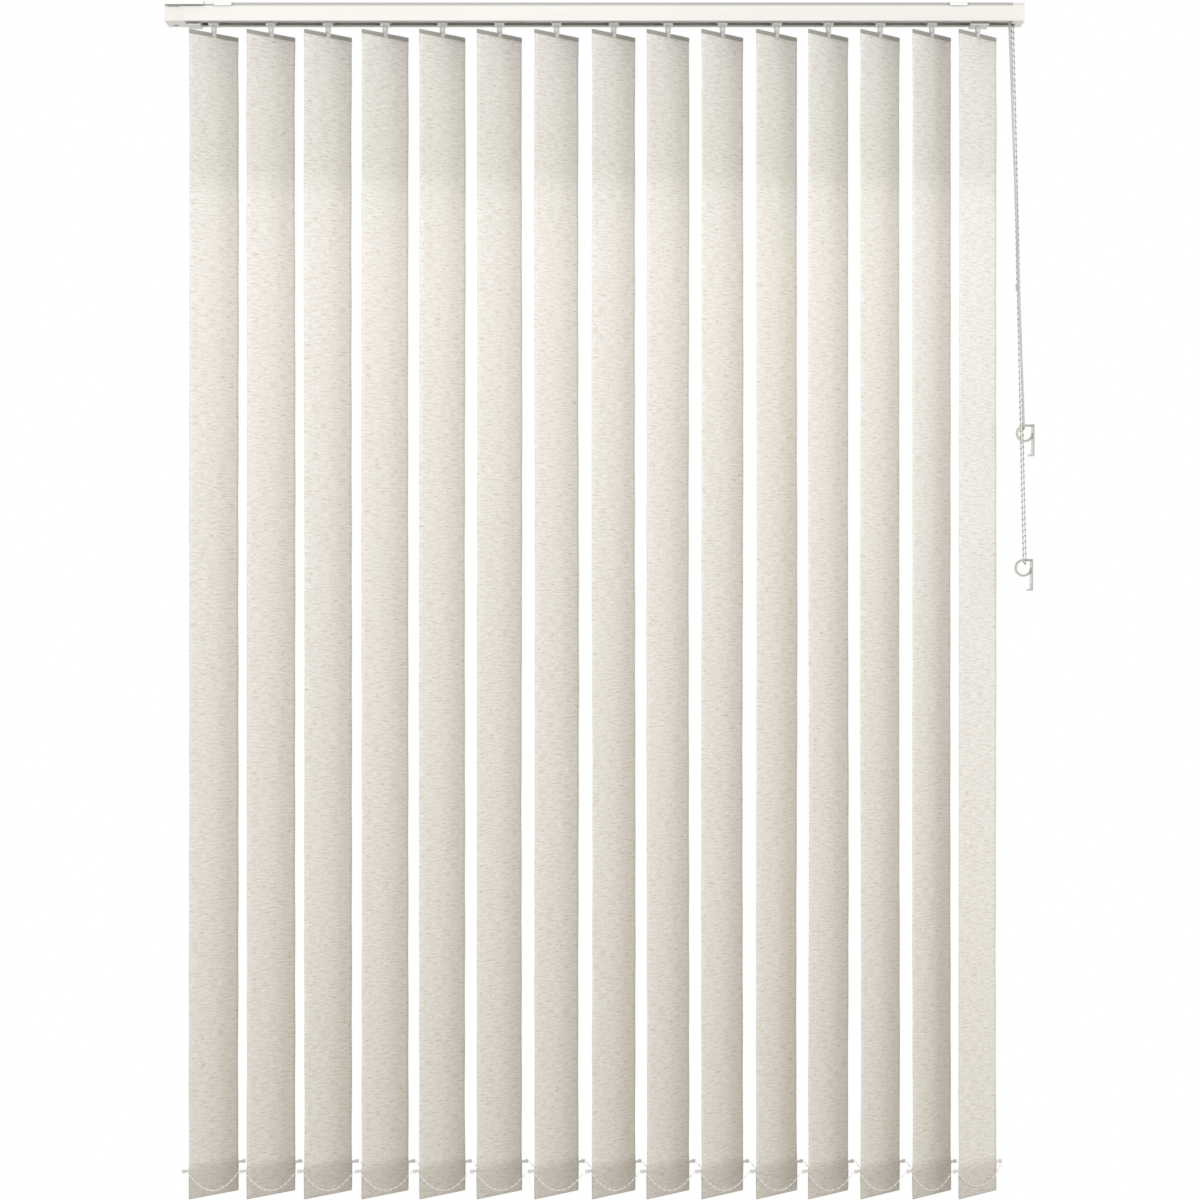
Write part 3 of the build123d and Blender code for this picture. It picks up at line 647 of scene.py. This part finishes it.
def finish_nodes():
    """Puts a material on every CAD node that stays in view."""
    rail_paint = painted_metal("rail_paint", linear(221, 218, 213), linear(218, 215, 209), rail_light_and_shade_bands)
    clip_paint = painted_metal("clip_paint", linear(228, 228, 226), linear(220, 220, 217))
    cap = plastic("cap_plastic", linear(222, 219, 214), linear(216, 213, 208), 0.42)
    carrier = plastic("carrier_plastic", linear(214, 213, 209), linear(202, 201, 197), 0.38)
    pulley = plastic("pulley_plastic", linear(230, 230, 228), linear(220, 220, 217), 0.38)
    wall_clip = plastic("wall_clip_plastic", linear(186, 182, 174), linear(168, 164, 156), 0.26, coat=0.5)
    rod = bare_metal("rod_metal", linear(205, 205, 206))
    chosen = {"headrail": rail_paint, "ceiling_clips": clip_paint, "idle_end_cap": cap,
              "control_end_cap": cap, "wall_clips": wall_clip, "tilt_rod": rod}
    for name, part in frame["nodes"].items():
        if name.startswith("carrier_"):
            material = carrier
        elif name.startswith("fitting_"):
            material = fitting_material(int(name[-2:]) - 1)
        else:
            material = chosen.get(name, pulley)
        part.data.materials.clear()
        part.data.materials.append(material)


# --- Floor and light ---
floor_radius = 2.2           # small enough to lie under the picture's bottom edge
floor_drop = 0.5             # below the fabric
floor_sides = 96


def add_floor():
    """A plain pale disc, well under the blind."""
    mesh = bmesh.new()
    bmesh.ops.create_circle(mesh, cap_ends=True, segments=floor_sides, radius=floor_radius,
                            matrix=Matrix.Translation((0, 0, fabric_bottom - floor_drop)))
    floor = object_from("floor", mesh)
    material, tree, shader = new_material("pale_floor")
    place = mapped(tree, "Object", (1, 1, 1))
    cloud = noise(tree, place, scale=3, detail=4)
    paint = ramp(tree, cloud, [(0.3, (0.56, 0.56, 0.55)), (0.7, (0.60, 0.60, 0.59))])
    tree.links.new(paint, shader.inputs["Base Color"])
    shader.inputs["Roughness"].default_value = 0.9
    floor.data.materials.append(material)


def add_light(name, place, aim, size, power):
    data = bpy.data.lights.new(name, "AREA")
    data.shape = "RECTANGLE"
    data.size, data.size_y = size
    data.energy = power
    lamp = bpy.data.objects.new(name, data)
    lamp.location = place
    lamp.rotation_euler = (Vector(aim) - Vector(place)).to_track_quat("-Z", "Y").to_euler()
    link(lamp)


def add_lights():
    world = bpy.data.worlds.new("studio")
    world.use_nodes = True
    surround = world.node_tree.nodes["Background"]
    surround.inputs["Color"].default_value = (1, 1, 1, 1)
    surround.inputs["Strength"].default_value = 1.0
    bpy.context.scene.world = world
    add_light("key", (-0.9, -4.4, 1.2), (0, 0, -0.7), (2.4, 2.0), 50)
    add_light("fill", (2.8, -3.8, -0.4), (0, 0, -0.8), (2.4, 2.4), 22)


bpy.context.scene.view_settings.view_transform = "Standard"
add_camera()
chain_plastic = plastic("bead_plastic", linear(182, 178, 173), linear(166, 162, 157), 0.26, coat=0.4)
bottom_plastic = plastic("bottom_bead_plastic", linear(230, 228, 224), linear(216, 213, 208), 0.22, coat=0.5)
cord_braid = plastic("cord_braid", linear(196, 195, 192), linear(182, 180, 177), 0.7, grain=2200, depth=0.0002)
add_control_cord(cord_braid)
add_control_chain(chain_plastic)
add_bottom_chains(bottom_plastic)
add_end_chain(bottom_plastic)
add_slats(fabric_material())
finish_nodes()
add_floor()
add_lights()
